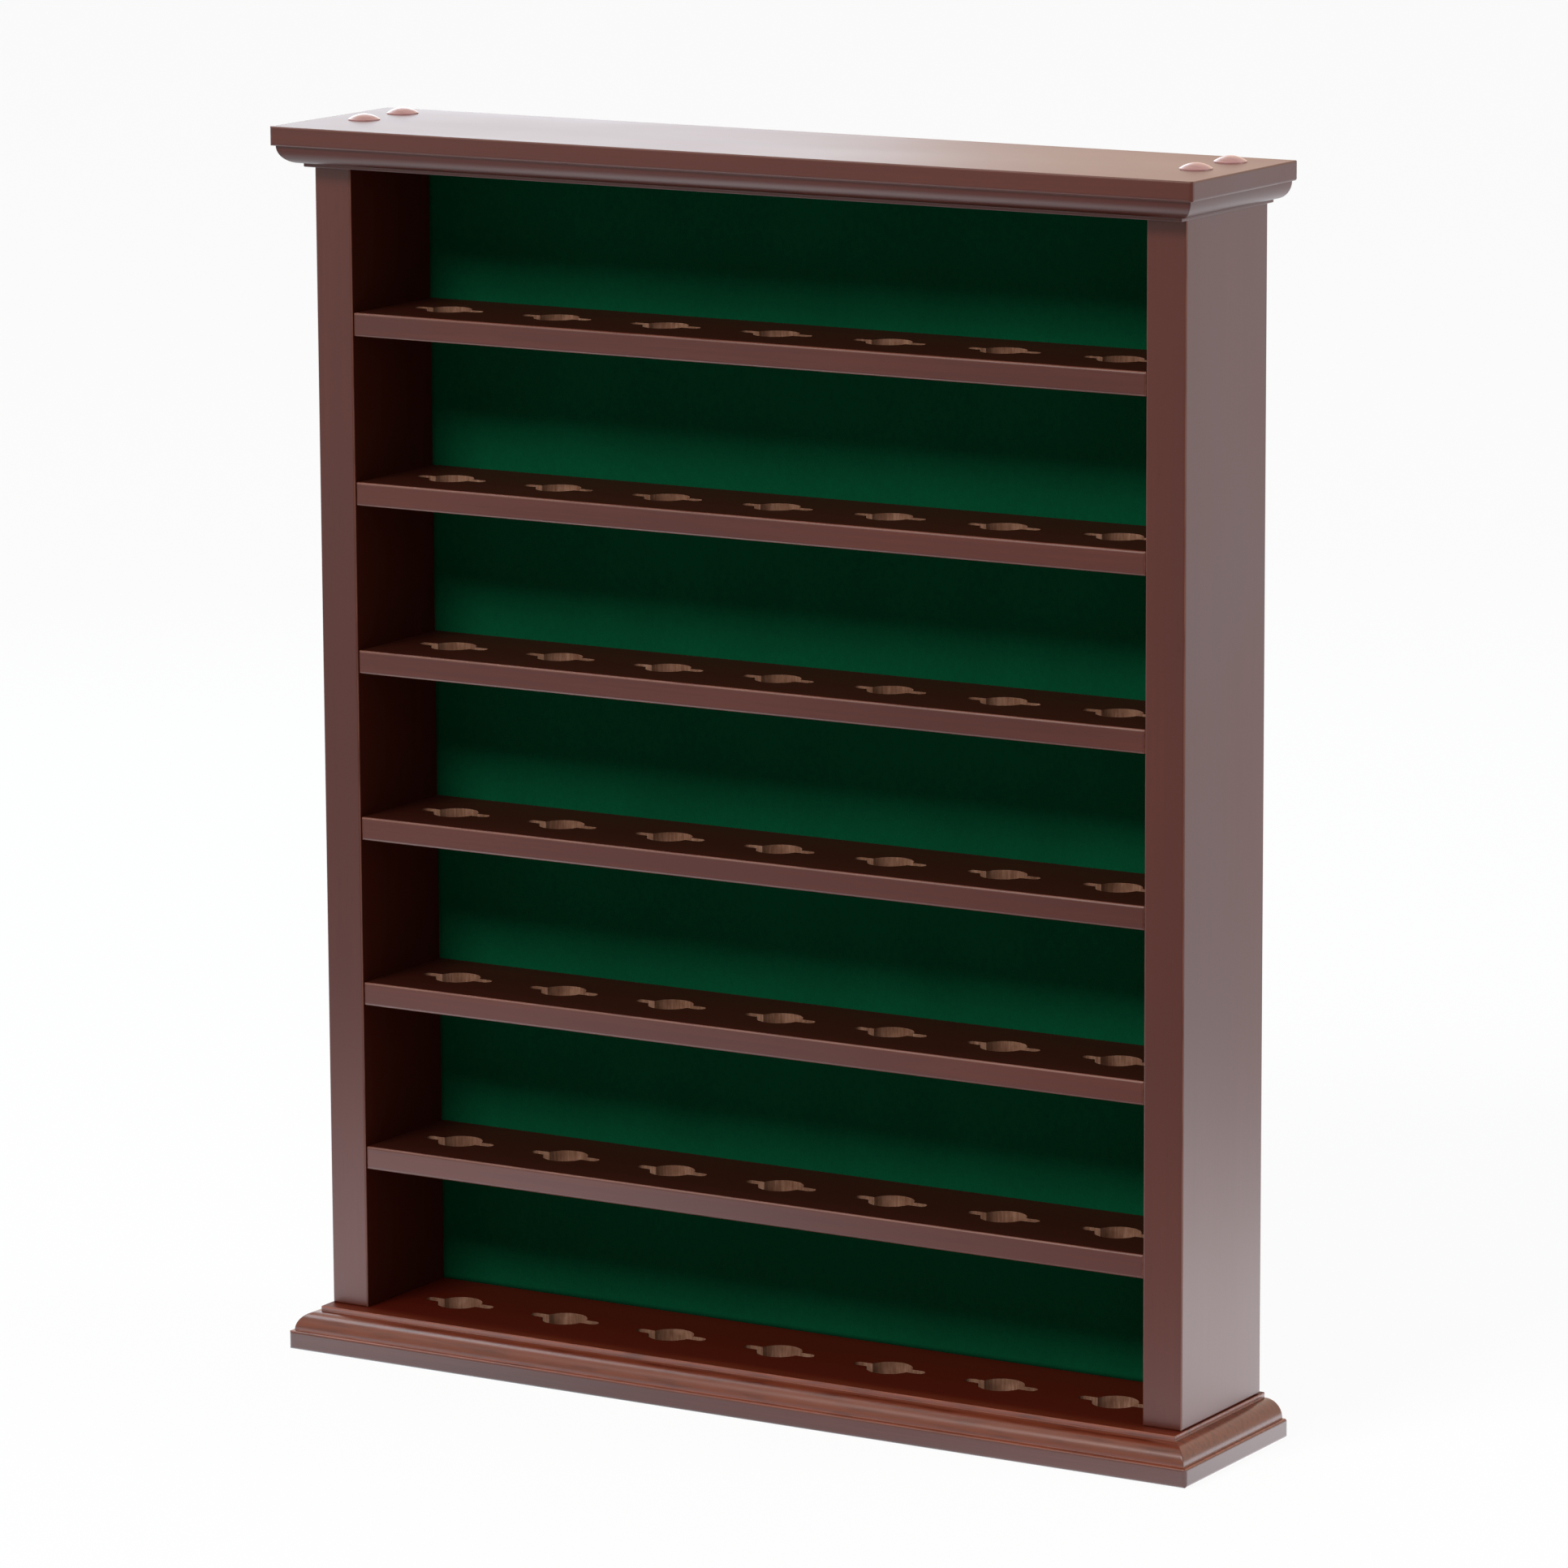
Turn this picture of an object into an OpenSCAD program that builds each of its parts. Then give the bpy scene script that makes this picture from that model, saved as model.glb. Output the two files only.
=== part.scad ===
// Open wooden display case for 49 golf balls: six shelves between two side
// panels, a moulded base and cap, and a felt-lined back.
// Millimetres. X runs along the shelves, Y from front to back, Z up.
// The origin is under the middle of the case, on the surface it stands on.

/* [Side panels] */
// Thickness of each side panel
panel_t = 17; // [12:0.5:22]
// Depth of each side panel, front to back
panel_d = 65; // [58:1:80]
// Height of each side panel
panel_h = 465; // [430:1:520]
// Clear width between the side panels
inner_w = 358; // [354:1:400]
// Radius of the eased long edges of a side panel
panel_arris = 0.8; // [0.4:0.1:1.5]
// Radius of the eased lower end of a side panel
foot_arris = 0.6; // [0.4:0.1:1.5]
// Radius of the lower back corner of a side panel
heel_r = 2.5; // [1:0.5:4]

/* [Shelves] */
// Thickness of a shelf
shelf_t = 9.6; // [9:0.1:12]
// Distance from one shelf to the next
shelf_pitch = 68; // [60:0.5:72]
// How far a shelf's front stands back from the side panels' front
shelf_setback = 0.5; // [0:0.1:3]
// Radius of a shelf's eased edges
shelf_arris = 1.1; // [0.4:0.1:1.6]

/* [Ball pockets] */
// Diameter of the round seat that a ball sits on
pocket_d = 18.5; // [14:0.5:22]
// Depth of a pocket
pocket_depth = 6.5; // [3:0.5:7]
// Length of the slot across a pocket, end to end
slot_l = 32; // [26:1:36]
// Width of the slot
slot_w = 4.6; // [3:0.1:6]
// Distance from one pocket to the next
pocket_pitch = 50.7; // [46:0.1:51.5]
// Pockets in a row
pocket_count = 7; // [3:1:7]
// How far each row of pockets lies to the right of the middle
row_shift = 1.5; // [-2:0.5:2]
// From a shelf's front to the middle of its pockets
shelf_pocket_y = 26; // [20:0.5:30]
// From the side panels' front to the middle of the base's pockets
base_pocket_y = 24.8; // [20:0.1:30]

/* [Base and cap] */
// Thickness of the base board
base_t = 17.1; // [16:0.1:22]
// Thickness of the cap board
cap_t = 16.5; // [16:0.1:22]
// Reach of the base in front of the side panels
base_front = 16.8; // [14:0.1:22]
// Reach of the base past each side panel
base_side = 10.8; // [10:0.1:20]
// Reach of the base behind the side panels
base_back = 1.7; // [0:0.1:6]
// Reach of the cap in front of the side panels
cap_front = 15.8; // [14:0.1:22]
// Reach of the cap past each side panel
cap_side = 10.8; // [10:0.1:20]
// Reach of the cap behind the side panels
cap_back = 2.5; // [0:0.1:6]
// Radius of the upright front corners of both boards
corner_r = 1.6; // [0.5:0.1:1.8]

/* [Moulding] */
// Height of the flat outer band
fascia_h = 7.7; // [6:0.1:9]
// Radius of the base's lowest edge
base_arris = 1.2; // [0.3:0.1:1.5]
// Radius of the cap's highest edge
cap_arris = 0.5; // [0.3:0.1:1.5]
// Radius of the band's edge beside the moulding
inner_arris = 1; // [0.3:0.1:1.5]
// Width of the ledge between the band and the quarter round
ledge_w = 1.9; // [1.6:0.1:2.8]
// Radius of the quarter round
ovolo_r = 7.3; // [5:0.1:7.4]
// Width of the small step above the quarter round
step_w = 0.6; // [0.3:0.1:1.5]
// Radius of the last band's edge
band_arris = 0.4; // [0.2:0.1:0.6]

/* [Back] */
// Thickness of the felt
felt_t = 1; // [0.6:0.1:2]
// Thickness of the back board
back_t = 3.2; // [2.5:0.1:5]
// Distance from the back board to the side panels' back
back_recess = 5; // [2:0.5:8]
// Depth of the rabbet that holds the back board, into a side panel
rabbet_d = 5.5; // [4:0.5:7]
// Gap round the back board in its rabbets
back_gap = 0.3; // [0.1:0.1:0.6]

/* [Screws and plugs] */
// Distance from the side panels' front to the front screw
screw_y1 = 23; // [12:0.5:30]
// Distance from the side panels' front to the back screw
screw_y2 = 50.5; // [36:0.5:52]
// Diameter of a screw's shank
screw_d = 4; // [3:0.1:4.5]
// Length of a screw under its head
screw_l = 34; // [28:1:60]
// Diameter of a screw's head
screw_head_d = 8; // [7:0.1:9]
// Height of a screw's head
screw_head_h = 3; // [2:0.1:3.5]
// Room round a screw in its hole
screw_gap = 0.05; // [0.02:0.01:0.1]
// Diameter of the flat on a screw's point
screw_tip_d = 0.8; // [0.4:0.1:1.5]
// Length of each arm of the cross in a screw's head, end to end
drive_l = 4.6; // [3:0.1:6]
// Width of the cross's arms
drive_w = 1; // [0.6:0.1:1.5]
// Depth of the cross
drive_depth = 1.6; // [0.8:0.1:1.8]
// Room round a screw's head in its counterbore
head_room = 0.75; // [0.2:0.05:1]
// Depth of the counterbores in the base
base_bore = 5; // [4:0.1:7]
// Reach of a plug's domed head past the counterbore that it covers
plug_lip = 1.6; // [0.8:0.1:2.5]
// Height of the dome over its rim
plug_dome = 2.1; // [1:0.1:3]
// Height of a plug's rim
plug_rim = 0.4; // [0.2:0.1:1]
// Length of a plug's peg, which fills the counterbore down to the screw's head
peg_l = 5; // [3:0.1:6]

/* [Dowels and brads] */
// Diameter of a dowel
dowel_d = 6; // [4:0.5:6]
// Length of a dowel inside the shelf
dowel_in_shelf = 13; // [8:0.5:14]
// Length of a dowel inside the side panel
dowel_in_panel = 10; // [6:0.5:10]
// Room left past each end of a dowel
dowel_room = 0.5; // [0.1:0.1:1]
// Chamfer round a dowel's ends
dowel_chamfer = 0.6; // [0.3:0.1:1]
// From a shelf's front to its front dowel
dowel_y1 = 11; // [8:0.5:14]
// From a shelf's front to its back dowel
dowel_y2 = 43; // [38:0.5:46]
// Diameter of a brad
brad_d = 1.6; // [1:0.1:2]
// Length of a brad under its head
brad_l = 12; // [8:1:13]
// Diameter of a brad's head
brad_head_d = 3; // [2.4:0.1:4]
// Height of a brad's head
brad_head_h = 0.6; // [0.4:0.1:1]
// Brads down each side of the back board
side_brads = 5; // [3:1:8]
// Brads along each shelf
shelf_brads = 3; // [2:1:5]

/* [Hidden] */
$fn = 48;
cut = 1;              // how far a cutting shape runs past a face
shelf_count = 6;
outer_w = inner_w + 2 * panel_t;
// Front of the side panels, with the footprint of base and cap centred on the origin
y_front = (max(base_front, cap_front) - panel_d - max(base_back, cap_back)) / 2;
y_back = y_front + panel_d;
z_panel = base_t;
z_cap = base_t + panel_h;
z_top = z_cap + cap_t;
// The shelves share one pitch and lie centred between base and cap
shelf_stack = (shelf_count - 1) * shelf_pitch + shelf_t;
z_shelf_1 = z_panel + (panel_h - shelf_stack) / 2;
y_shelf = y_front + shelf_setback;
y_board_back = y_back - back_recess;
y_board = y_board_back - back_t;
y_felt = y_board - felt_t;
shelf_d = y_felt - y_shelf;
fillet_in = ledge_w + ovolo_r + step_w;
screw_x = inner_w / 2 + panel_t / 2;
screw_ys = [y_front + screw_y1, y_front + screw_y2];
head_bore_d = screw_head_d + 2 * head_room;
plug_d = head_bore_d + 2 * plug_lip;
side_brad_x = inner_w / 2 + rabbet_d / 2;
// Level of the top screws' seats, under the pegs and the screws' heads
z_screw = z_top - peg_l - screw_head_h;

wood = [0.30, 0.13, 0.11];
raw_wood = [0.62, 0.45, 0.33];
plug_wood = [0.45, 0.17, 0.13];
felt_green = [0.02, 0.28, 0.18];
steel = [0.70, 0.68, 0.62];
board_brown = [0.42, 0.30, 0.20];

function z_shelf(i) = z_shelf_1 + (i - 1) * shelf_pitch;
function pocket_x(k) = row_shift + (k - (pocket_count - 1) / 2) * pocket_pitch;
function side_brad_z(k) = z_panel + panel_h * (k + 0.5) / side_brads;
function shelf_brad_x(k) = inner_w * ((k + 0.5) / shelf_brads - 0.5);

// A w by h rectangle from the origin whose four corners have their own radii,
// in the order low left, low right, high right, high left
module rounded_outline(w, h, radii) {
    corners = [[0, 0], [w, 0], [w, h], [0, h]];
    turns = [[1, 1], [-1, 1], [-1, -1], [1, -1]];
    difference() {
        square([w, h]);
        for (i = [0 : 3])
            if (radii[i] > 0)
                translate(corners[i]) corner_waste(turns[i], radii[i]);
    }
}

// What rounding takes off one corner that opens along turn
module corner_waste(turn, r) {
    difference() {
        translate([turn[0] > 0 ? -cut : -r, turn[1] > 0 ? -cut : -r])
            square(r + cut);
        translate([turn[0] * r, turn[1] * r])
            circle(r);
    }
}

// A board from the origin with every edge eased to radius r, from three
// crossed prisms
module eased_board(size, r) {
    radii = [r, r, r, r];
    intersection() {
        linear_extrude(size[2]) rounded_outline(size[0], size[1], radii);
        translate([0, size[1], 0]) rotate([90, 0, 0])
            linear_extrude(size[1]) rounded_outline(size[0], size[2], radii);
        rotate([90, 0, 90])
            linear_extrude(size[0]) rounded_outline(size[1], size[2], radii);
    }
}

// Half of a moulded board's section: x runs inwards from its outermost edge
// and y away from its outer face
module moulding(length, thickness, arris) {
    translate([ledge_w + ovolo_r, fascia_h])
        intersection() {
            circle(ovolo_r);
            translate([-ovolo_r, -cut]) square(ovolo_r + cut);
        }
    rounded_outline(length, fascia_h, [arris, 0, 0, inner_arris]);
    translate([ledge_w + ovolo_r, 0]) square([length - ledge_w - ovolo_r, fascia_h + ovolo_r]);
    translate([fillet_in, 0])
        rounded_outline(length - fillet_in, thickness, [0, 0, 0, band_arris]);
}

// A board moulded on its front and both ends, outer face down, front at y = 0
// and centred along x
module moulded_board(width, depth, thickness, arris) {
    intersection() {
        translate([-width / 2, 0, 0]) rotate([90, 0, 90])
            linear_extrude(width) moulding(depth, thickness, arris);
        translate([0, depth, 0]) rotate([90, 0, 0])
            linear_extrude(depth)
                for (side = [0, 1])
                    mirror([side, 0]) translate([-width / 2, 0])
                        moulding(width / 2 + cut, thickness, arris);
        translate([-width / 2, 0, 0])
            linear_extrude(thickness)
                rounded_outline(width, depth, [corner_r, corner_r, 0, 0]);
    }
}

// One row of ball pockets, cut down from a board's upper face at z
module pocket_row(y, z) {
    for (k = [0 : pocket_count - 1])
        translate([pocket_x(k), y, z - pocket_depth]) {
            cylinder(d = pocket_d, h = pocket_depth + cut);
            translate([(slot_w - slot_l) / 2, -slot_w / 2, 0])
                cube([slot_l - slot_w, slot_w, pocket_depth + cut]);
            for (end = [-1, 1])
                translate([end * (slot_l - slot_w) / 2, 0, 0])
                    cylinder(d = slot_w, h = pocket_depth + cut);
        }
}

// A wood screw along +z, with the underside of its head at z = 0
module wood_screw() {
    difference() {
        translate([0, 0, -screw_head_h])
            cylinder(d = screw_head_d, h = screw_head_h);
        for (turn = [0, 90])
            rotate(turn)
                translate([-drive_l / 2, -drive_w / 2, -screw_head_h - cut])
                    cube([drive_l, drive_w, drive_depth + cut]);
    }
    cylinder(d = screw_d, h = screw_l - screw_d);
    translate([0, 0, screw_l - screw_d])
        cylinder(d1 = screw_d, d2 = screw_tip_d, h = screw_d);
}

// The hole that a wood screw needs, head first along +z
module screw_hole() {
    translate([0, 0, -cut])
        cylinder(d = screw_d + 2 * screw_gap, h = screw_l + 2 * cut);
}

// Everything at the four screw places, on the level z
module at_screws(z) {
    for (side = [-1, 1], y = screw_ys)
        translate([side * screw_x, y, z]) children();
}

// A brad along -y, with the underside of its head at y = 0
module brad() {
    rotate([90, 0, 0]) {
        translate([0, 0, -brad_head_h]) cylinder(d = brad_head_d, h = brad_head_h);
        cylinder(d = brad_d, h = brad_l - brad_d);
        translate([0, 0, brad_l - brad_d])
            cylinder(d1 = brad_d, d2 = brad_d / 4, h = brad_d);
    }
}

module brad_hole() {
    rotate([90, 0, 0]) cylinder(d = brad_d, h = 2 * brad_l, center = true);
}

module at_side_brads() {
    for (side = [-1, 1], k = [0 : side_brads - 1])
        translate([side * side_brad_x, y_board_back, side_brad_z(k)]) children();
}

module at_shelf_brads() {
    for (i = [1 : shelf_count], k = [0 : shelf_brads - 1])
        translate([shelf_brad_x(k), y_board_back, z_shelf(i) + shelf_t / 2]) children();
}

// The right side's dowel places, along +x from the side panel's inner face
module at_dowels() {
    for (i = [1 : shelf_count], y = [dowel_y1, dowel_y2])
        translate([inner_w / 2, y_shelf + y, z_shelf(i) + shelf_t / 2])
            rotate([0, 90, 0]) children();
}

module dowel_holes() {
    at_dowels()
        translate([0, 0, -dowel_in_shelf - dowel_room])
            cylinder(d = dowel_d, h = dowel_in_shelf + dowel_in_panel + 2 * dowel_room);
}

module dowels() {
    at_dowels() {
        translate([0, 0, -dowel_in_shelf])
            cylinder(d1 = dowel_d - 2 * dowel_chamfer, d2 = dowel_d, h = dowel_chamfer);
        translate([0, 0, dowel_chamfer - dowel_in_shelf])
            cylinder(d = dowel_d, h = dowel_in_shelf + dowel_in_panel - 2 * dowel_chamfer);
        translate([0, 0, dowel_in_panel - dowel_chamfer])
            cylinder(d1 = dowel_d, d2 = dowel_d - 2 * dowel_chamfer, h = dowel_chamfer);
    }
}

module base_board() {
    color(wood)
        difference() {
            translate([0, y_front - base_front, 0])
                moulded_board(outer_w + 2 * base_side, base_front + panel_d + base_back,
                              base_t, base_arris);
            pocket_row(y_front + base_pocket_y, base_t);
            at_screws(base_bore) screw_hole();
            at_screws(-cut) cylinder(d = head_bore_d, h = base_bore + cut);
        }
}

module top_board() {
    color(wood)
        difference() {
            translate([0, y_front - cap_front, z_top]) mirror([0, 0, 1])
                moulded_board(outer_w + 2 * cap_side, cap_front + panel_d + cap_back,
                              cap_t, cap_arris);
            at_screws(z_screw) mirror([0, 0, 1]) screw_hole();
            at_screws(z_screw) cylinder(d = head_bore_d, h = z_top - z_screw + cut);
        }
}

// The right side panel; the left one is its mirror image
module side_panel() {
    color(wood)
        difference() {
            translate([inner_w / 2, y_front, z_panel])
                intersection() {
                    linear_extrude(panel_h)
                        rounded_outline(panel_t, panel_d, [for (i = [0 : 3]) panel_arris]);
                    rotate([90, 0, 90])
                        linear_extrude(panel_t)
                            rounded_outline(panel_d, panel_h, [foot_arris, heel_r, 0, 0]);
                    translate([0, panel_d, 0]) rotate([90, 0, 0])
                        linear_extrude(panel_d)
                            rounded_outline(panel_t, panel_h, [foot_arris, foot_arris, 0, 0]);
                }
            translate([inner_w / 2 - cut, y_board, z_panel - cut])
                cube([rabbet_d + cut, panel_d, panel_h + 2 * cut]);
            dowel_holes();
            at_screws(base_bore) screw_hole();
            at_screws(z_screw) mirror([0, 0, 1]) screw_hole();
            at_side_brads() brad_hole();
        }
}

module left_side_panel() { mirror([1, 0, 0]) side_panel(); }

module right_side_panel() { side_panel(); }

module shelf(i) {
    color(wood)
        difference() {
            translate([-inner_w / 2, y_shelf, z_shelf(i)])
                eased_board([inner_w, shelf_d, shelf_t], shelf_arris);
            pocket_row(y_shelf + shelf_pocket_y, z_shelf(i) + shelf_t);
            dowel_holes();
            mirror([1, 0, 0]) dowel_holes();
            at_shelf_brads() brad_hole();
        }
}

module felt_lining() {
    color(felt_green)
        difference() {
            translate([-inner_w / 2, y_felt, z_panel])
                cube([inner_w, felt_t, panel_h]);
            at_shelf_brads() brad_hole();
        }
}

module back_board() {
    board_w = inner_w + 2 * (rabbet_d - back_gap);
    color(board_brown)
        difference() {
            translate([-board_w / 2, y_board, z_panel + back_gap])
                cube([board_w, back_t, panel_h - 2 * back_gap]);
            at_side_brads() brad_hole();
            at_shelf_brads() brad_hole();
        }
}

// A plug's dome is the top of a ball that meets the rim all round
module plug() {
    dome_r = (pow(plug_d / 2, 2) + pow(plug_dome, 2)) / (2 * plug_dome);
    translate([0, 0, -peg_l]) cylinder(d = head_bore_d, h = peg_l);
    cylinder(d = plug_d, h = plug_rim);
    translate([0, 0, plug_rim])
        intersection() {
            translate([0, 0, plug_dome - dome_r]) sphere(dome_r);
            cylinder(d = plug_d, h = plug_dome);
        }
}

module button_plugs() { color(plug_wood) at_screws(z_top) plug(); }

module top_screws() { color(steel) at_screws(z_screw) mirror([0, 0, 1]) wood_screw(); }

module base_screws() { color(steel) at_screws(base_bore) wood_screw(); }

module left_shelf_dowels() { color(raw_wood) mirror([1, 0, 0]) dowels(); }

module right_shelf_dowels() { color(raw_wood) dowels(); }

module back_board_brads() {
    color(steel) {
        at_side_brads() brad();
        at_shelf_brads() brad();
    }
}

base_board();
top_board();
left_side_panel();
right_side_panel();
shelf(1);  // shelf_1
shelf(2);  // shelf_2
shelf(3);  // shelf_3
shelf(4);  // shelf_4
shelf(5);  // shelf_5
shelf(6);  // shelf_6
felt_lining();
back_board();
button_plugs();
top_screws();
base_screws();
left_shelf_dowels();
right_shelf_dowels();
back_board_brads();
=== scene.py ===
"""The looks of the golf ball display case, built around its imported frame.

Metres throughout. The case stands at z = 0 and its front looks towards -y. Every piece keeps its CAD shape
and gets a procedural finish; only the felt is made anew, as one closed sheet.
"""

import math

import bpy
import numpy as np
from mathutils import Matrix, Vector

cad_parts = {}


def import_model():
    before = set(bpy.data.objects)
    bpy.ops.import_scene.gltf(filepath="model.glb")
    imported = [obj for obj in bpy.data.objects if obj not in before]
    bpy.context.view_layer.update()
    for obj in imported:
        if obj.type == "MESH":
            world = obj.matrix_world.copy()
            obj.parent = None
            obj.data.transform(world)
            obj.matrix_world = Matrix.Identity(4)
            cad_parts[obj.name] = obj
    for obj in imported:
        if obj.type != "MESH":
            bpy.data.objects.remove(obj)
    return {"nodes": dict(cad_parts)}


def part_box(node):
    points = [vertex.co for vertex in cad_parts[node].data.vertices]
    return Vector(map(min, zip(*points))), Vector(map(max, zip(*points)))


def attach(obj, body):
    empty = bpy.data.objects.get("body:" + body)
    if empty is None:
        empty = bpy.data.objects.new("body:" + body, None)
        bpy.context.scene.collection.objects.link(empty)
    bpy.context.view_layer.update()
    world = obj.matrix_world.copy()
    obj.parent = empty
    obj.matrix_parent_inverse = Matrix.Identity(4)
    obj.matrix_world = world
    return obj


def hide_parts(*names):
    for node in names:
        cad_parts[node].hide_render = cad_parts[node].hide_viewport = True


MM = 0.001

# The camera stands to the right of the case's front and looks down on it a little; angles in degrees
CAMERA_AT = (1.5515, -2.5610, 0.8188)
CAMERA_YAW = 31.13
CAMERA_PITCH = 10.82
CAMERA_ROLL = 0.30
# In millimetres, as Blender takes them
SENSOR_WIDTH = 36
FOCAL_LENGTH = 178.4
# Far enough to see the whole floor
CLIP_END = 100

# What the lamps are turned to
CASE_MIDDLE = (0, 0, 0.25)
CAP_LEFT = (-0.1, 0, 0.5)
BASE_FRONT = (0, -0.05, 0)

FLOOR_SIZE = 40
# The floor lies this far under the case, so that the two don't share a plane
FLOOR_DROP = 0.2 * MM
# The floor's grey as it throws light on the case
FLOOR_BOUNCE_GREY = 0.6
# To the camera it is a glow, and a faint grey on top that takes the case's shadow
FLOOR_GLOW = 0.935
FLOOR_SHADOW_GREY = 0.07
# The floor's strength in glosses ahead of the case, at the left and at the right, and its gain behind
GLOSS_AHEAD_LEFT = 0.84
GLOSS_AHEAD_RIGHT = 0.50
GLOSS_BEHIND = 0.85
# Where it turns from ahead to behind along y, and from left to right along x, slanted by y
BEHIND_SPAN = (-0.1, 0.3)
RIGHT_SPAN = (-0.15, 0.4)
RIGHT_SLANT = -0.6
# Pools of light in the floor's glosses: centre, radius that is full, radius where it ends, and strength
POOLS = (
    ((0.3, 0.12, 0), 0.05, 0.54, 2.6),
    ((-0.28, -0.17, 0), 0.03, 0.38, 2.86),
    ((-2.0, -2.1, 0), 0.5, 1.2, 1.25),
)

# The felt's grid and its relief: matting and broader waves, the cells that each is smoothed over, and the
# matting's share
FELT_CELL = 2 * MM
FELT_RELIEF = 0.16 * MM
MATTING_CELLS = 3
WAVE_CELLS = 14
MATTING_SHARE = 0.6
# The felt is free again this many half thicknesses of a shelf from the shelf's middle
PRESSED_END = 1.6
SEED = 7

# The width of a board's moulded border; all its cuts lie further in
MOULDING_WIDTH = 11 * MM
# The moulding's ledge, above the base's underside or below the cap's upper face
FASCIA_HEIGHT = 7.7 * MM
# The base moulding's rim, over its quarter round
RIM_HEIGHT = 2.1 * MM
# The radii that hand sanding leaves on sharp edges and on mouldings, in the shading alone
EDGE_ROUNDING = 0.35 * MM
MOULDING_ROUNDING = 0.8 * MM
# A face centre this near to a board's upper or lower face counts as lying in it
SKIN = 0.05 * MM
# A face looks along an axis when its normal has more than this along it
FACING = 0.9
# How pale the eased edges are, from 0 to 1, worn and in part a painted highlight, and how deep the base's
# upper face is paler behind its front edge
EDGE_WEAR_AND_HIGHLIGHT = 0.45
PALE_BAND_DEPTH = 8 * MM
# The lacquer's roughness and its spread, and the glossier base
LACQUER_ROUGHNESS = 0.38
ROUGHNESS_SPREAD = 0.03
BASE_ROUGHNESS = 0.24
# How far from the middle tone the stain is at its darkest and palest; a smaller figure is bolder
SHELF_FIGURE = 0.18
CAP_FIGURE = 0.3
PANEL_FIGURE = 0.34

# What shifts the grain from board to board, in the noise's own units
SHELF_SHIFT = 0.37
PANEL_SHIFT = 0.59
BASE_SHIFT = 2.9
CAP_SHIFT = 3.3
DOWEL_SHIFT = 3.1
PLUG_SHIFT = 5.3

# A Mix node's sockets for colours share their names with its other sockets, so they go by number
MIX_COLOUR_A, MIX_COLOUR_B, MIX_RESULT = 6, 7, 2

# The studio's tints
WHITE = (1, 1, 1, 1)
WARM = (1, 0.79, 0.64, 1)
COOL = (0.93, 0.96, 1, 1)
COOLER = (0.80, 0.94, 1, 1)
ROSY = (1, 0.77, 0.75, 1)
COOL_LAMP = (0.75, 0.90, 1)
BLUE_LAMP = (0.58, 0.82, 1)

# The stain on the case's outside and on faces inside it, deeper copies on the upper faces in the bays as
# painted shade, the stain rubbed thin, and eased edges that are worn and in part a painted highlight
STAIN_DARK = (0.054, 0.0076, 0.0033, 1)
STAIN_MID = (0.072, 0.0105, 0.0047, 1)
STAIN_PALE = (0.096, 0.0165, 0.0075, 1)
PORE = (0.030, 0.0042, 0.0020, 1)
# Painted shade: deeper copies of the stain for the shelves' and the base's upper faces, which lie in the
# bays
SHELF_TOP_SHADE = (0.025, 0.0048, 0.0024, 1)
BASE_TOP_SHADE = (0.060, 0.0056, 0.0018, 1)
INSIDE = (0.068, 0.0110, 0.0055, 1)
STAIN_THIN = (0.230, 0.050, 0.021, 1)
# Eased edges, paler and greyer as wear and in part as a painted highlight
WORN_EDGE_AND_HIGHLIGHT = (0.27, 0.115, 0.078, 1)

# The other materials
MILLED_DARK = (0.12, 0.050, 0.026, 1)
MILLED_MID = (0.225, 0.110, 0.066, 1)
MILLED_PALE = (0.38, 0.21, 0.14, 1)
BIRCH_DARK = (0.48, 0.32, 0.20, 1)
BIRCH_PALE = (0.66, 0.49, 0.34, 1)
# The plugs' pinker stain, painted paler in part to stand for the reflection on their domes
PLUG_DARK = (0.25, 0.110, 0.116, 1)
PLUG_PALE = (0.40, 0.190, 0.198, 1)
FELT_DARK = (0.0005, 0.048, 0.0180, 1)
FELT_MID = (0.0008, 0.064, 0.0240, 1)
FELT_PALE = (0.0014, 0.082, 0.0315, 1)
FELT_BLOOM = (0.1, 0.6, 0.35, 1)
HARDBOARD_DARK = (0.085, 0.045, 0.024, 1)
HARDBOARD_MID = (0.16, 0.088, 0.046, 1)
HARDBOARD_PALE = (0.25, 0.15, 0.085, 1)
ZINC_DULL = (0.42, 0.40, 0.35, 1)
ZINC_BRIGHT = (0.62, 0.60, 0.56, 1)


def set_inputs(tree, target, inputs):
    """Sets a node's inputs; each is a plain value, or a socket to join to it."""
    for name, value in inputs.items():
        if isinstance(value, bpy.types.NodeSocket):
            tree.links.new(value, target.inputs[name])
        else:
            target.inputs[name].default_value = value


def node(tree, kind, inputs=None, **settings):
    """A new node of that kind, with its settings and inputs."""
    made = tree.nodes.new(kind)
    for name, value in settings.items():
        setattr(made, name, value)
    set_inputs(tree, made, inputs or {})
    return made


def material(name):
    """A new material, its node tree and its main shader."""
    made = bpy.data.materials.new(name)
    made.use_nodes = True
    return made, made.node_tree, made.node_tree.nodes["Principled BSDF"]


def grey(value):
    """That value as a colour."""
    return (value, value, value, 1)


def scaled(colour, factor):
    """A colour made deeper or paler."""
    return (*(factor * part for part in colour[:3]), 1)


def ramp(tree, factor, *stops):
    """A colour ramp through (place, colour) stops."""
    made = node(tree, "ShaderNodeValToRGB", {"Fac": factor})
    bar = made.color_ramp.elements
    while len(bar) < len(stops):
        bar.new(1)
    for element, (place, colour) in zip(bar, stops):
        element.position = place
        element.color = colour
    return made.outputs["Color"]


def mix(tree, factor, a, b):
    """Colour a, turned into b where factor is 1."""
    inputs = {"Factor": factor, MIX_COLOUR_A: a, MIX_COLOUR_B: b}
    return node(tree, "ShaderNodeMix", inputs, data_type="RGBA").outputs[MIX_RESULT]


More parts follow.
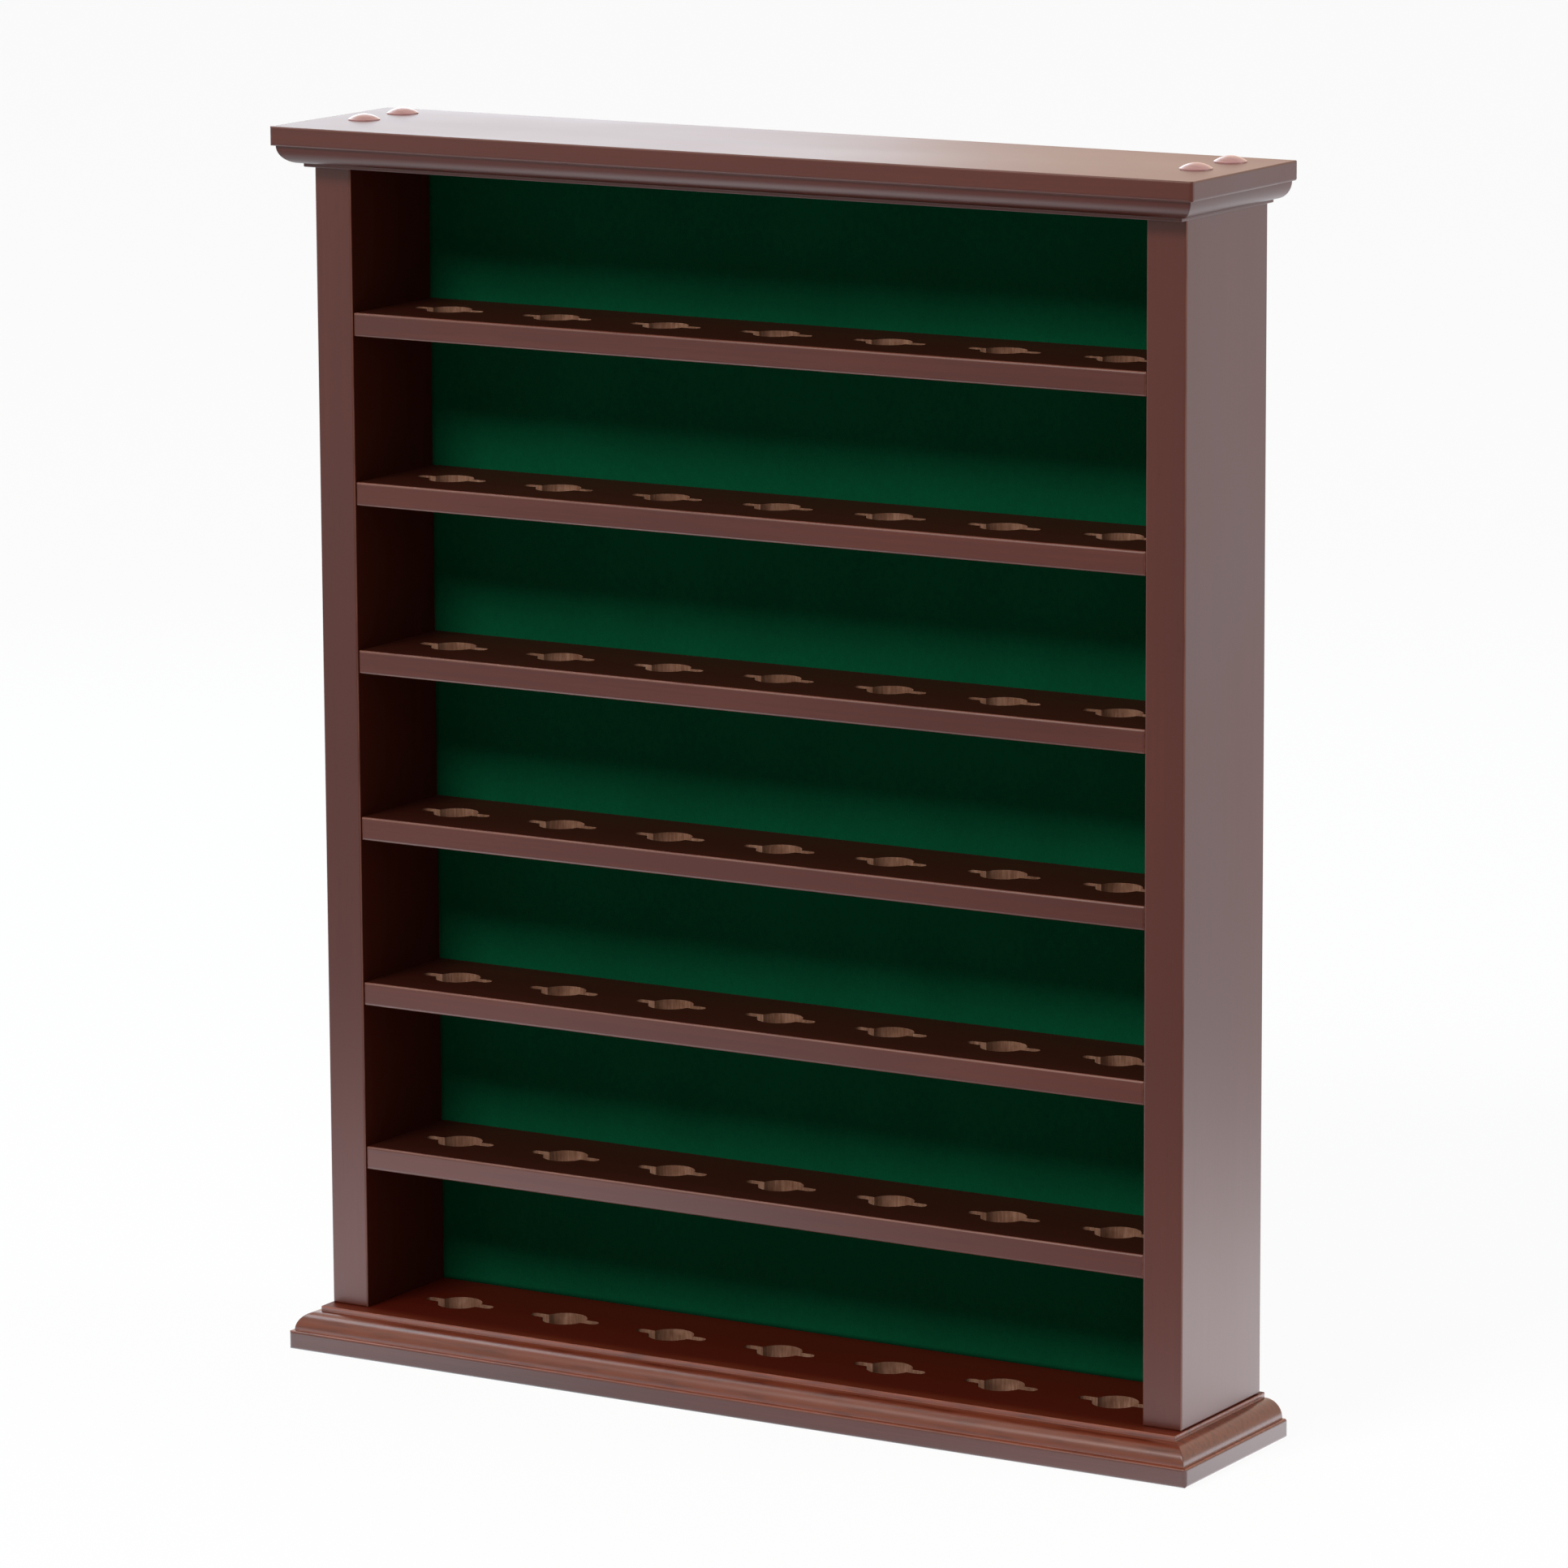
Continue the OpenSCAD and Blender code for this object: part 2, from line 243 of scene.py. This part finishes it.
def maths(tree, operation, a, b=0.5, c=0.5):
    """What a Math node makes of up to three values."""
    return node(tree, "ShaderNodeMath", {0: a, 1: b, 2: c}, operation=operation).outputs[0]


def smooth_step(tree, value, start, end):
    """0 before start, 1 past end and smooth between them."""
    inputs = {"Value": value, "From Min": start, "From Max": end}
    return node(tree, "ShaderNodeMapRange", inputs, interpolation_type="SMOOTHSTEP").outputs[0]


def object_coords(tree):
    """The place on the object, in metres from its origin."""
    return node(tree, "ShaderNodeTexCoord").outputs["Object"]


def along_axes(tree, vector):
    """A vector's parts, as outputs named X, Y and Z."""
    return node(tree, "ShaderNodeSeparateXYZ", {0: vector}).outputs


def noise(tree, coords, scale, detail=3.0, roughness=0.5, offset=(0, 0, 0)):
    """Noise with its own scale, per metre, along each axis."""
    placed = node(tree, "ShaderNodeMapping", {"Vector": coords, "Location": offset, "Scale": scale})
    return node(tree, "ShaderNodeTexNoise", {
        "Vector": placed.outputs[0], "Scale": 1.0, "Detail": detail, "Roughness": roughness}).outputs["Fac"]


def bump(tree, height, distance, strength, rounding=0.0):
    """A bumped normal; rounding is the radius in metres that sharp edges seem to have."""
    inputs = {"Height": height, "Distance": distance, "Strength": strength}
    if rounding:
        inputs["Normal"] = node(tree, "ShaderNodeBevel", {"Radius": rounding}, samples=6).outputs[0]
    return node(tree, "ShaderNodeBump", inputs).outputs[0]


def grain_scale(axis, with_grain, across):
    """A noise's scale for a grain that runs along that axis."""
    return tuple(with_grain if name == axis else across for name in "XYZ")


def wood_grain(tree, coords, axis, shift):
    """Broad bands, fine streaks and pores, each from 0 to 1, for a board whose grain runs along axis."""
    bands = noise(tree, coords, grain_scale(axis, 3, 75), offset=(shift, 1.7 * shift, 0.6 * shift))
    streaks = noise(tree, coords, grain_scale(axis, 10, 620), detail=5, roughness=0.6,
                    offset=(shift, 0, shift))
    pores = noise(tree, coords, grain_scale(axis, 150, 2800), detail=2, offset=(0, shift, 3 * shift))
    return bands, streaks, pores


def eased_edges(tree):
    """1 where a face slants between two axes, as on an eased edge, and 0 on a board's flat faces."""
    slant = node(tree, "ShaderNodeNewGeometry").outputs["True Normal"]
    x, y, z = (maths(tree, "ABSOLUTE", part) for part in along_axes(tree, slant))
    squarest = maths(tree, "MAXIMUM", maths(tree, "MAXIMUM", x, y), z)
    return smooth_step(tree, maths(tree, "SUBTRACT", 1.0, squarest), 0.03, 0.2)


def by_height(tree, coords, low, high, stops):
    """A factor that runs through (height, value) stops between two heights."""
    height = along_axes(tree, coords)["Z"]
    place = maths(tree, "DIVIDE", maths(tree, "SUBTRACT", height, low), high - low)
    return ramp(tree, place, *(((level - low) / (high - low), grey(value)) for level, value in stops))


def stained_wood(name, axis, shift, figure=SHELF_FIGURE, profile=None, rough=LACQUER_ROUGHNESS):
    """Dark cherry stain under satin lacquer, thin where it was rubbed, and paler on eased edges as wear and
    in part as a painted highlight.

    shift moves the grain from board to board, and a smaller figure makes it bolder. profile is a moulded
    board's lowest and highest level and its stops of wear by height; other boards are paler on their edges,
    worn and in part a painted highlight.
    rough is the lacquer's mean roughness.
    """
    made, tree, shader = material(name)
    coords = object_coords(tree)
    bands, streaks, pores = wood_grain(tree, coords, axis, shift)
    clouds = noise(tree, coords, grain_scale(axis, 6, 12), detail=2, offset=(4 * shift, shift, shift))
    toned = mix(tree, 0.4, mix(tree, 0.45, streaks, bands), clouds)
    stain = ramp(tree, toned, (0.5 - figure, STAIN_DARK), (0.5, STAIN_MID), (0.5 + figure, STAIN_PALE))
    open_pores = ramp(tree, pores, (0.62, grey(0)), (0.70, grey(1)))
    body = mix(tree, maths(tree, "MULTIPLY", open_pores, 0.3), stain, PORE)
    if profile:
        wear = by_height(tree, coords, *profile)
        bare, rounding = STAIN_THIN, MOULDING_ROUNDING
    else:
        # Painted highlight in part: eased edges all round are paler, as wear and as the light they catch
        wear = maths(tree, "MULTIPLY", eased_edges(tree), EDGE_WEAR_AND_HIGHLIGHT)
        bare, rounding = WORN_EDGE_AND_HIGHLIGHT, EDGE_ROUNDING
    patch_noise = noise(tree, coords, grain_scale(axis, 50, 500), detail=5, offset=(shift, 0, 0))
    patches = smooth_step(tree, patch_noise, 0.2, 0.6)
    colour = mix(tree, maths(tree, "MULTIPLY", wear, patches), body, bare)
    gloss = ramp(tree, clouds, (0.3, grey(rough - ROUGHNESS_SPREAD)), (0.7, grey(rough + ROUGHNESS_SPREAD)))
    relief = maths(tree, "SUBTRACT", maths(tree, "MULTIPLY", streaks, 0.35), open_pores)
    set_inputs(tree, shader, {
        "Base Color": colour, "Roughness": gloss, "IOR": 1.5,
        "Normal": bump(tree, relief, 0.01 * MM, 0.5, rounding)})
    return made


def shaded_copy_wood(name, axis, shift, stained, front=None):
    """Faces inside the case: a flatter stain, painted deeper on upper faces as shade, paler behind the front
    edge if that is given.
    """
    made, tree, shader = material(name)
    coords = object_coords(tree)
    bands, streaks, _ = wood_grain(tree, coords, axis, shift)
    toned = mix(tree, 0.5, streaks, bands)
    stain = ramp(tree, toned, (0.25, scaled(stained, 0.85)), (0.5, stained), (0.75, scaled(stained, 1.2)))
    if front is not None:
        # Paler, unevenly, in a band behind the front edge
        depth = along_axes(tree, coords)["Y"]
        rubbed = maths(tree, "SUBTRACT", 1.0, smooth_step(tree, depth, front, front + PALE_BAND_DEPTH))
        uneven = noise(tree, coords, grain_scale(axis, 25, 160), offset=(shift, 0, 0))
        thin = maths(tree, "MULTIPLY", rubbed, maths(tree, "MULTIPLY", uneven, 0.5))
        stain = mix(tree, thin, stain, STAIN_THIN)
    set_inputs(tree, shader, {
        "Base Color": stain, "Roughness": 0.5, "Specular IOR Level": 0.12,
        "Normal": bump(tree, streaks, 0.01 * MM, 0.4, EDGE_ROUNDING)})
    return made


def milled_wood(name):
    """Raw wood as a cutter leaves it, with upright marks."""
    made, tree, shader = material(name)
    coords = object_coords(tree)
    marks = noise(tree, coords, (1300, 1300, 120), roughness=0.6)
    patches = noise(tree, coords, (160, 160, 160))
    tone = mix(tree, 0.5, marks, patches)
    set_inputs(tree, shader, {
        "Base Color": ramp(tree, tone, (0.3, MILLED_DARK), (0.5, MILLED_MID), (0.72, MILLED_PALE)),
        "Roughness": 0.85, "Specular IOR Level": 0.2, "Normal": bump(tree, marks, 0.12 * MM, 0.8)})
    return made


def birch(name):
    """The bare dowels."""
    made, tree, shader = material(name)
    _, streaks, pores = wood_grain(tree, object_coords(tree), "X", DOWEL_SHIFT)
    set_inputs(tree, shader, {
        "Base Color": ramp(tree, streaks, (0.3, BIRCH_DARK), (0.7, BIRCH_PALE)),
        "Roughness": 0.7, "Normal": bump(tree, pores, 0.04 * MM, 0.6)})
    return made


def plug_wood(name):
    """The turned plugs: a pinker stain under a glossy coat, painted paler in part as a reflection."""
    made, tree, shader = material(name)
    coords = object_coords(tree)
    _, streaks, pores = wood_grain(tree, coords, "X", PLUG_SHIFT)
    tone = mix(tree, 0.3, streaks, noise(tree, coords, (90, 90, 90), detail=2))
    set_inputs(tree, shader, {
        "Base Color": ramp(tree, tone, (0.3, PLUG_DARK), (0.7, PLUG_PALE)),
        "Roughness": 0.45, "Coat Weight": 1.0, "Coat Roughness": 0.3,
        "Normal": bump(tree, pores, 0.01 * MM, 0.5)})
    return made


def felt(name):
    """Short green felt: matted fibres with a soft bloom."""
    made, tree, shader = material(name)
    coords = object_coords(tree)
    fibres = noise(tree, coords, (2600, 2600, 1300), detail=4, roughness=0.7)
    mats = noise(tree, coords, (420, 420, 300))
    clouds = noise(tree, coords, (26, 26, 20), detail=2)
    tone = mix(tree, 0.3, mix(tree, 0.35, fibres, mats), clouds)
    set_inputs(tree, shader, {
        "Base Color": ramp(tree, tone, (0.25, FELT_DARK), (0.5, FELT_MID), (0.75, FELT_PALE)),
        "Roughness": 0.95, "Specular IOR Level": 0.05,
        "Sheen Weight": 0.04, "Sheen Roughness": 0.5, "Sheen Tint": FELT_BLOOM,
        "Normal": bump(tree, fibres, 0.15 * MM, 0.7)})
    return made


def hardboard(name):
    """Pressed brown board: smooth, with flecks of fibre."""
    made, tree, shader = material(name)
    coords = object_coords(tree)
    flecks = noise(tree, coords, (700, 700, 260), detail=5, roughness=0.7)
    clouds = noise(tree, coords, (18, 18, 18))
    tone = mix(tree, 0.3, flecks, clouds)
    set_inputs(tree, shader, {
        "Base Color": ramp(tree, tone, (0.3, HARDBOARD_DARK), (0.5, HARDBOARD_MID), (0.7, HARDBOARD_PALE)),
        "Roughness": 0.5, "Normal": bump(tree, flecks, 0.03 * MM, 0.6)})
    return made


def zinc(name):
    """Zinc-plated steel."""
    made, tree, shader = material(name)
    bloom = noise(tree, object_coords(tree), (500, 500, 500))
    set_inputs(tree, shader, {
        "Base Color": ramp(tree, bloom, (0.3, ZINC_DULL), (0.7, ZINC_BRIGHT)),
        "Roughness": ramp(tree, bloom, (0.3, grey(0.28)), (0.7, grey(0.44))), "Metallic": 1,
        "Normal": bump(tree, bloom, 0.01 * MM, 0.5)})
    return made


def add_object(name, data):
    """A new object in the scene with that data."""
    made = bpy.data.objects.new(name, data)
    bpy.context.collection.objects.link(made)
    return made


def add_mesh(name, verts, faces):
    """A new mesh object in the scene."""
    mesh = bpy.data.meshes.new(name)
    mesh.from_pydata(verts, [], faces)
    mesh.validate()
    return add_object(name, mesh)


def dress(cad_object, *materials):
    """Gives a CAD node its materials; every face starts with the first."""
    cad_object.data.materials.clear()
    for made in materials:
        cad_object.data.materials.append(made)
    for face in cad_object.data.polygons:
        face.material_index = 0


def share_faces(cad_object):
    """Gives the second material to the faces inside a board's cuts, and the third to its upper face."""
    corners = np.array([corner.co for corner in cad_object.data.vertices])
    low, high = Vector(corners.min(axis=0)), Vector(corners.max(axis=0))
    for face in cad_object.data.polygons:
        spot = face.center
        inside = all(low[k] + MOULDING_WIDTH < spot[k] < high[k] - MOULDING_WIDTH for k in (0, 1))
        if inside and low.z + SKIN < spot.z < high.z - SKIN:
            face.material_index = 1
        elif face.normal.z > FACING and spot.z > high.z - SKIN:
            face.material_index = 2


def mark_inner_face(cad_object):
    """Gives the second material to a side panel's faces that look into the case."""
    for face in cad_object.data.polygons:
        if abs(face.normal.x) > FACING and face.normal.x * face.center.x < 0:
            face.material_index = 1


def smooth_noise(rng, rows, columns, cells):
    """Random values from 0 to 1 on a grid, smoothed over that many cells."""
    values = rng.random((rows + 2 * cells, columns + 2 * cells))
    kernel = np.hanning(2 * cells + 1)
    kernel /= kernel.sum()
    for axis in (0, 1):
        values = np.apply_along_axis(lambda line: np.convolve(line, kernel, "same"), axis, values)
    values = values[cells:-cells, cells:-cells]
    return (values - values.min()) / (values.max() - values.min())


def felt_relief(columns, zs, shelves):
    """How deep each point of the felt's front lies, by row and column; flat where a shelf presses it."""
    rng = np.random.default_rng(SEED)
    matting = smooth_noise(rng, len(zs), columns, MATTING_CELLS)
    waves = smooth_noise(rng, len(zs), columns, WAVE_CELLS)
    pressed = np.zeros(len(zs))
    for bottom, top in shelves:
        middle, half = (bottom + top) / 2, (top - bottom) / 2
        pressed = np.maximum(pressed, np.clip(PRESSED_END - np.abs(zs - middle) / half, 0, 1))
    relief = matting * MATTING_SHARE + waves * (1 - MATTING_SHARE)
    return FELT_RELIEF * relief * (1 - pressed[:, None])


def felt_sheet(low, high, shelves):
    """The felt as one closed sheet: a fine grid with matted relief in front and one flat face behind."""
    across = round((high.x - low.x) / FELT_CELL)
    up = round((high.z - low.z) / FELT_CELL)
    wide = across + 1
    xs = np.linspace(low.x, high.x, wide)
    zs = np.linspace(low.z, high.z, up + 1)
    depths = felt_relief(wide, zs, shelves)
    verts = [(x, low.y + depths[j, i], z) for j, z in enumerate(zs) for i, x in enumerate(xs)]
    firsts = [j * wide + i for j in range(up) for i in range(across)]
    faces = [(first, first + 1, first + 1 + wide, first + wide) for first in firsts]
    rim = list(range(wide))
    rim += [j * wide + across for j in range(1, up + 1)]
    rim += [up * wide + i for i in range(across - 1, -1, -1)]
    rim += [j * wide for j in range(up - 1, 0, -1)]
    behind = len(verts)
    verts += [(verts[corner][0], high.y, verts[corner][2]) for corner in rim]
    for k, corner in enumerate(rim):
        n = (k + 1) % len(rim)
        faces.append((rim[n], corner, behind + k, behind + n))
    faces.append(tuple(range(behind, behind + len(rim))))
    made = add_mesh("felt_sheet", verts, faces)
    for face in made.data.polygons[:across * up]:
        face.use_smooth = True
    return made


def add_camera():
    """The photo's camera, turned by its yaw, pitch and roll."""
    yaw, pitch, roll = (math.radians(angle) for angle in (CAMERA_YAW, CAMERA_PITCH, CAMERA_ROLL))
    forward = Vector((-math.sin(yaw) * math.cos(pitch), math.cos(yaw) * math.cos(pitch), -math.sin(pitch)))
    right = Vector((math.cos(yaw), math.sin(yaw), 0))
    down = forward.cross(right)
    turned_right = right * math.cos(roll) + down * math.sin(roll)
    turned_down = down * math.cos(roll) - right * math.sin(roll)
    data = bpy.data.cameras.new("camera")
    data.sensor_width = SENSOR_WIDTH
    data.lens = FOCAL_LENGTH
    data.clip_end = CLIP_END
    made = add_object("camera", data)
    turn = Matrix((turned_right, -turned_down, -forward)).transposed().to_4x4()
    made.matrix_world = Matrix.Translation(CAMERA_AT) @ turn
    bpy.context.scene.camera = made


def add_softbox(name, place, target, size, watts, colour=(1, 1, 1), gloss_only=False):
    """A lamp the camera doesn't see, turned to the target, and perhaps seen in glosses alone."""
    data = bpy.data.lights.new(name, "AREA")
    data.color = colour
    data.shape = "RECTANGLE"
    data.size, data.size_y = size
    data.energy = watts
    made = add_object(name, data)
    made.visible_camera = False
    made.visible_diffuse = not gloss_only
    made.location = place
    made.rotation_mode = "QUATERNION"
    made.rotation_quaternion = (Vector(target) - Vector(place)).to_track_quat("-Z", "Y")


def ray_kinds(tree):
    """1 for what the camera sees, straight or through something clear, and 1 for what a gloss sees."""
    path = node(tree, "ShaderNodeLightPath").outputs
    seen = maths(tree, "MAXIMUM", path["Is Camera Ray"], path["Is Transmission Ray"])
    return seen, path["Is Glossy Ray"]


def add_world(backdrop, light, sheen):
    """Its strength to the camera, as light, and in glosses, where it is also warmer."""
    world = bpy.data.worlds.new("studio")
    bpy.context.scene.world = world
    world.use_nodes = True
    tree = world.node_tree
    seen, glossy = ray_kinds(tree)
    strength = maths(tree, "MULTIPLY_ADD", seen, backdrop - light, light)
    set_inputs(tree, tree.nodes["Background"], {
        "Strength": maths(tree, "MULTIPLY_ADD", glossy, sheen - light, strength),
        "Color": mix(tree, glossy, WHITE, WARM)})


def emission(tree, colour, strength):
    """A shader that glows."""
    return node(tree, "ShaderNodeEmission", {"Color": colour, "Strength": strength}).outputs[0]


def diffuse(tree, colour):
    """A plain matt shader."""
    return node(tree, "ShaderNodeBsdfDiffuse", {"Color": colour}).outputs[0]


def pool(tree, place, centre, full, end):
    """1 round a centre on the floor, out to full metres, and fading to 0 at end metres."""
    away = node(tree, "ShaderNodeVectorMath", {0: place, 1: centre}, operation="DISTANCE").outputs["Value"]
    return maths(tree, "SUBTRACT", 1.0, smooth_step(tree, away, full, end))


def floor_in_glosses(tree):
    """A wide glow, rosier and dimmer ahead at the right, with pools of light like a studio's white cards."""
    place = object_coords(tree)
    spot = along_axes(tree, place)
    behind = smooth_step(tree, spot["Y"], *BEHIND_SPAN)
    slanted = maths(tree, "MULTIPLY_ADD", spot["Y"], RIGHT_SLANT, spot["X"])
    rightward = smooth_step(tree, slanted, *RIGHT_SPAN)
    tint = mix(tree, behind, mix(tree, rightward, COOLER, ROSY), COOL)
    ahead = maths(tree, "MULTIPLY_ADD", rightward, GLOSS_AHEAD_RIGHT - GLOSS_AHEAD_LEFT, GLOSS_AHEAD_LEFT)
    wide = emission(tree, tint, maths(tree, "MULTIPLY_ADD", behind, GLOSS_BEHIND, ahead))
    brighter = 0.0
    for centre, full, end, strength in POOLS:
        brighter = maths(tree, "MULTIPLY_ADD", pool(tree, place, centre, full, end), strength, brighter)
    near = emission(tree, COOL, brighter)
    return node(tree, "ShaderNodeAddShader", {0: wide, 1: near}).outputs[0]


def add_floor():
    """A pale floor: white to the camera, with a faint shadow, and brightest round the case in glosses."""
    half = FLOOR_SIZE / 2
    corners = [(-half, -half), (half, -half), (half, half), (-half, half)]
    made = add_mesh("floor", [(x, y, -FLOOR_DROP) for x, y in corners], [(0, 1, 2, 3)])
    surface, tree, shader = material("floor")
    tree.nodes.remove(shader)
    seen, glossy = ray_kinds(tree)
    pale = diffuse(tree, grey(FLOOR_BOUNCE_GREY))
    reflected = node(tree, "ShaderNodeMixShader", {0: glossy, 1: pale, 2: floor_in_glosses(tree)}).outputs[0]
    shaded = diffuse(tree, grey(FLOOR_SHADOW_GREY))
    glow = emission(tree, WHITE, FLOOR_GLOW)
    shown = node(tree, "ShaderNodeAddShader", {0: shaded, 1: glow}).outputs[0]
    both = node(tree, "ShaderNodeMixShader", {0: seen, 1: reflected, 2: shown}).outputs[0]
    set_inputs(tree, tree.nodes["Material Output"], {"Surface": both})
    made.data.materials.append(surface)


def add_studio():
    """The backdrop, the floor and four lamps, the last of which only glosses see."""
    add_world(backdrop=1.0, light=0.26, sheen=1.5)
    add_floor()
    add_softbox("key", (-0.86, -3.76, 3.42), CASE_MIDDLE, size=(2.0, 1.0), watts=170)
    add_softbox("side", (2.4, 0.7, 0.9), CASE_MIDDLE, size=(1.2, 1.2), watts=23)
    add_softbox("back", (-1.19, 1.2, 1.0), CAP_LEFT, size=(1.0, 0.8), watts=6.2, colour=BLUE_LAMP)
    add_softbox("high", (-1.52, -0.16, 2.0), BASE_FRONT, size=(0.7, 0.4), watts=6.3, colour=COOL_LAMP,
                gloss_only=True)


def base_wear():
    """The base moulding's wear by height: most on its ledge's edge and on its rim."""
    low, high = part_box("base_board")
    ledge, rim = low.z + FASCIA_HEIGHT, high.z - RIM_HEIGHT
    stops = ((ledge - 0.7 * MM, 0), (ledge - 0.2 * MM, 1), (ledge + 0.6 * MM, 0.4), (rim - 3 * MM, 0.45),
             (rim, 0.6), (high.z, 1))
    return low.z, high.z, stops


def cap_wear():
    """The cap moulding's wear by height: a little on its ledge's edge."""
    low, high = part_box("top_board")
    ledge = high.z - FASCIA_HEIGHT
    stops = ((ledge - 0.5 * MM, 0), (ledge + 0.1 * MM, 0.35), (ledge + 0.7 * MM, 0), (high.z - 0.5 * MM, 0))
    return low.z, high.z, stops


def dress_boards(nodes):
    """Finishes the shelves, the base, the cap and the side panels."""
    raw = milled_wood("milled_wood")
    shelves = sorted(name for name in nodes if name.startswith("shelf_"))
    for number, name in enumerate(shelves, 1):
        sides = stained_wood(f"{name}_wood", "X", SHELF_SHIFT * number)
        # Painted shade: the shelf's upper face gets a deeper copy of its stain
        top = shaded_copy_wood(f"{name}_top", "X", SHELF_SHIFT * number, SHELF_TOP_SHADE)
        dress(nodes[name], sides, raw, top)
        share_faces(nodes[name])
    sides = stained_wood("base_board_wood", "X", BASE_SHIFT, profile=base_wear(), rough=BASE_ROUGHNESS)
    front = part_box("base_board")[0].y + MOULDING_WIDTH
    # The base's upper face gets a deeper copy too, painted shade, and is paler behind its front edge
    dress(nodes["base_board"], sides, raw, shaded_copy_wood("base_board_top", "X", BASE_SHIFT, BASE_TOP_SHADE, front))
    share_faces(nodes["base_board"])
    dress(nodes["top_board"], stained_wood("top_board_wood", "X", CAP_SHIFT, CAP_FIGURE, cap_wear()))
    for number, name in enumerate(["left_side_panel", "right_side_panel"], 1):
        inside = shaded_copy_wood(f"{name}_inside", "Z", PANEL_SHIFT * number, INSIDE)
        dress(nodes[name], stained_wood(f"{name}_wood", "Z", PANEL_SHIFT * number, PANEL_FIGURE), inside)
        mark_inner_face(nodes[name])


def dress_fittings(nodes):
    """Finishes the plugs, the dowels, the back board and the metal."""
    dress(nodes["button_plugs"], plug_wood("plug_wood"))
    bare = birch("birch")
    dress(nodes["left_shelf_dowels"], bare)
    dress(nodes["right_shelf_dowels"], bare)
    dress(nodes["back_board"], hardboard("hardboard"))
    plated = zinc("zinc")
    for name in ("top_screws", "base_screws", "back_board_brads"):
        dress(nodes[name], plated)


def line_with_felt(nodes):
    """Puts the felt sheet where the CAD has its plain felt."""
    low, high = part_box("felt_lining")
    shelves = [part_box(name) for name in nodes if name.startswith("shelf_")]
    lining = felt_sheet(low, high, [(shelf_low.z, shelf_high.z) for shelf_low, shelf_high in shelves])
    lining.data.materials.append(felt("felt"))
    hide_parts("felt_lining")
    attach(lining, "root")


def main():
    """Builds the scene."""
    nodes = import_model()["nodes"]
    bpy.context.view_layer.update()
    add_camera()
    bpy.context.scene.view_settings.view_transform = "Standard"
    add_studio()
    dress_boards(nodes)
    dress_fittings(nodes)
    line_with_felt(nodes)


main()
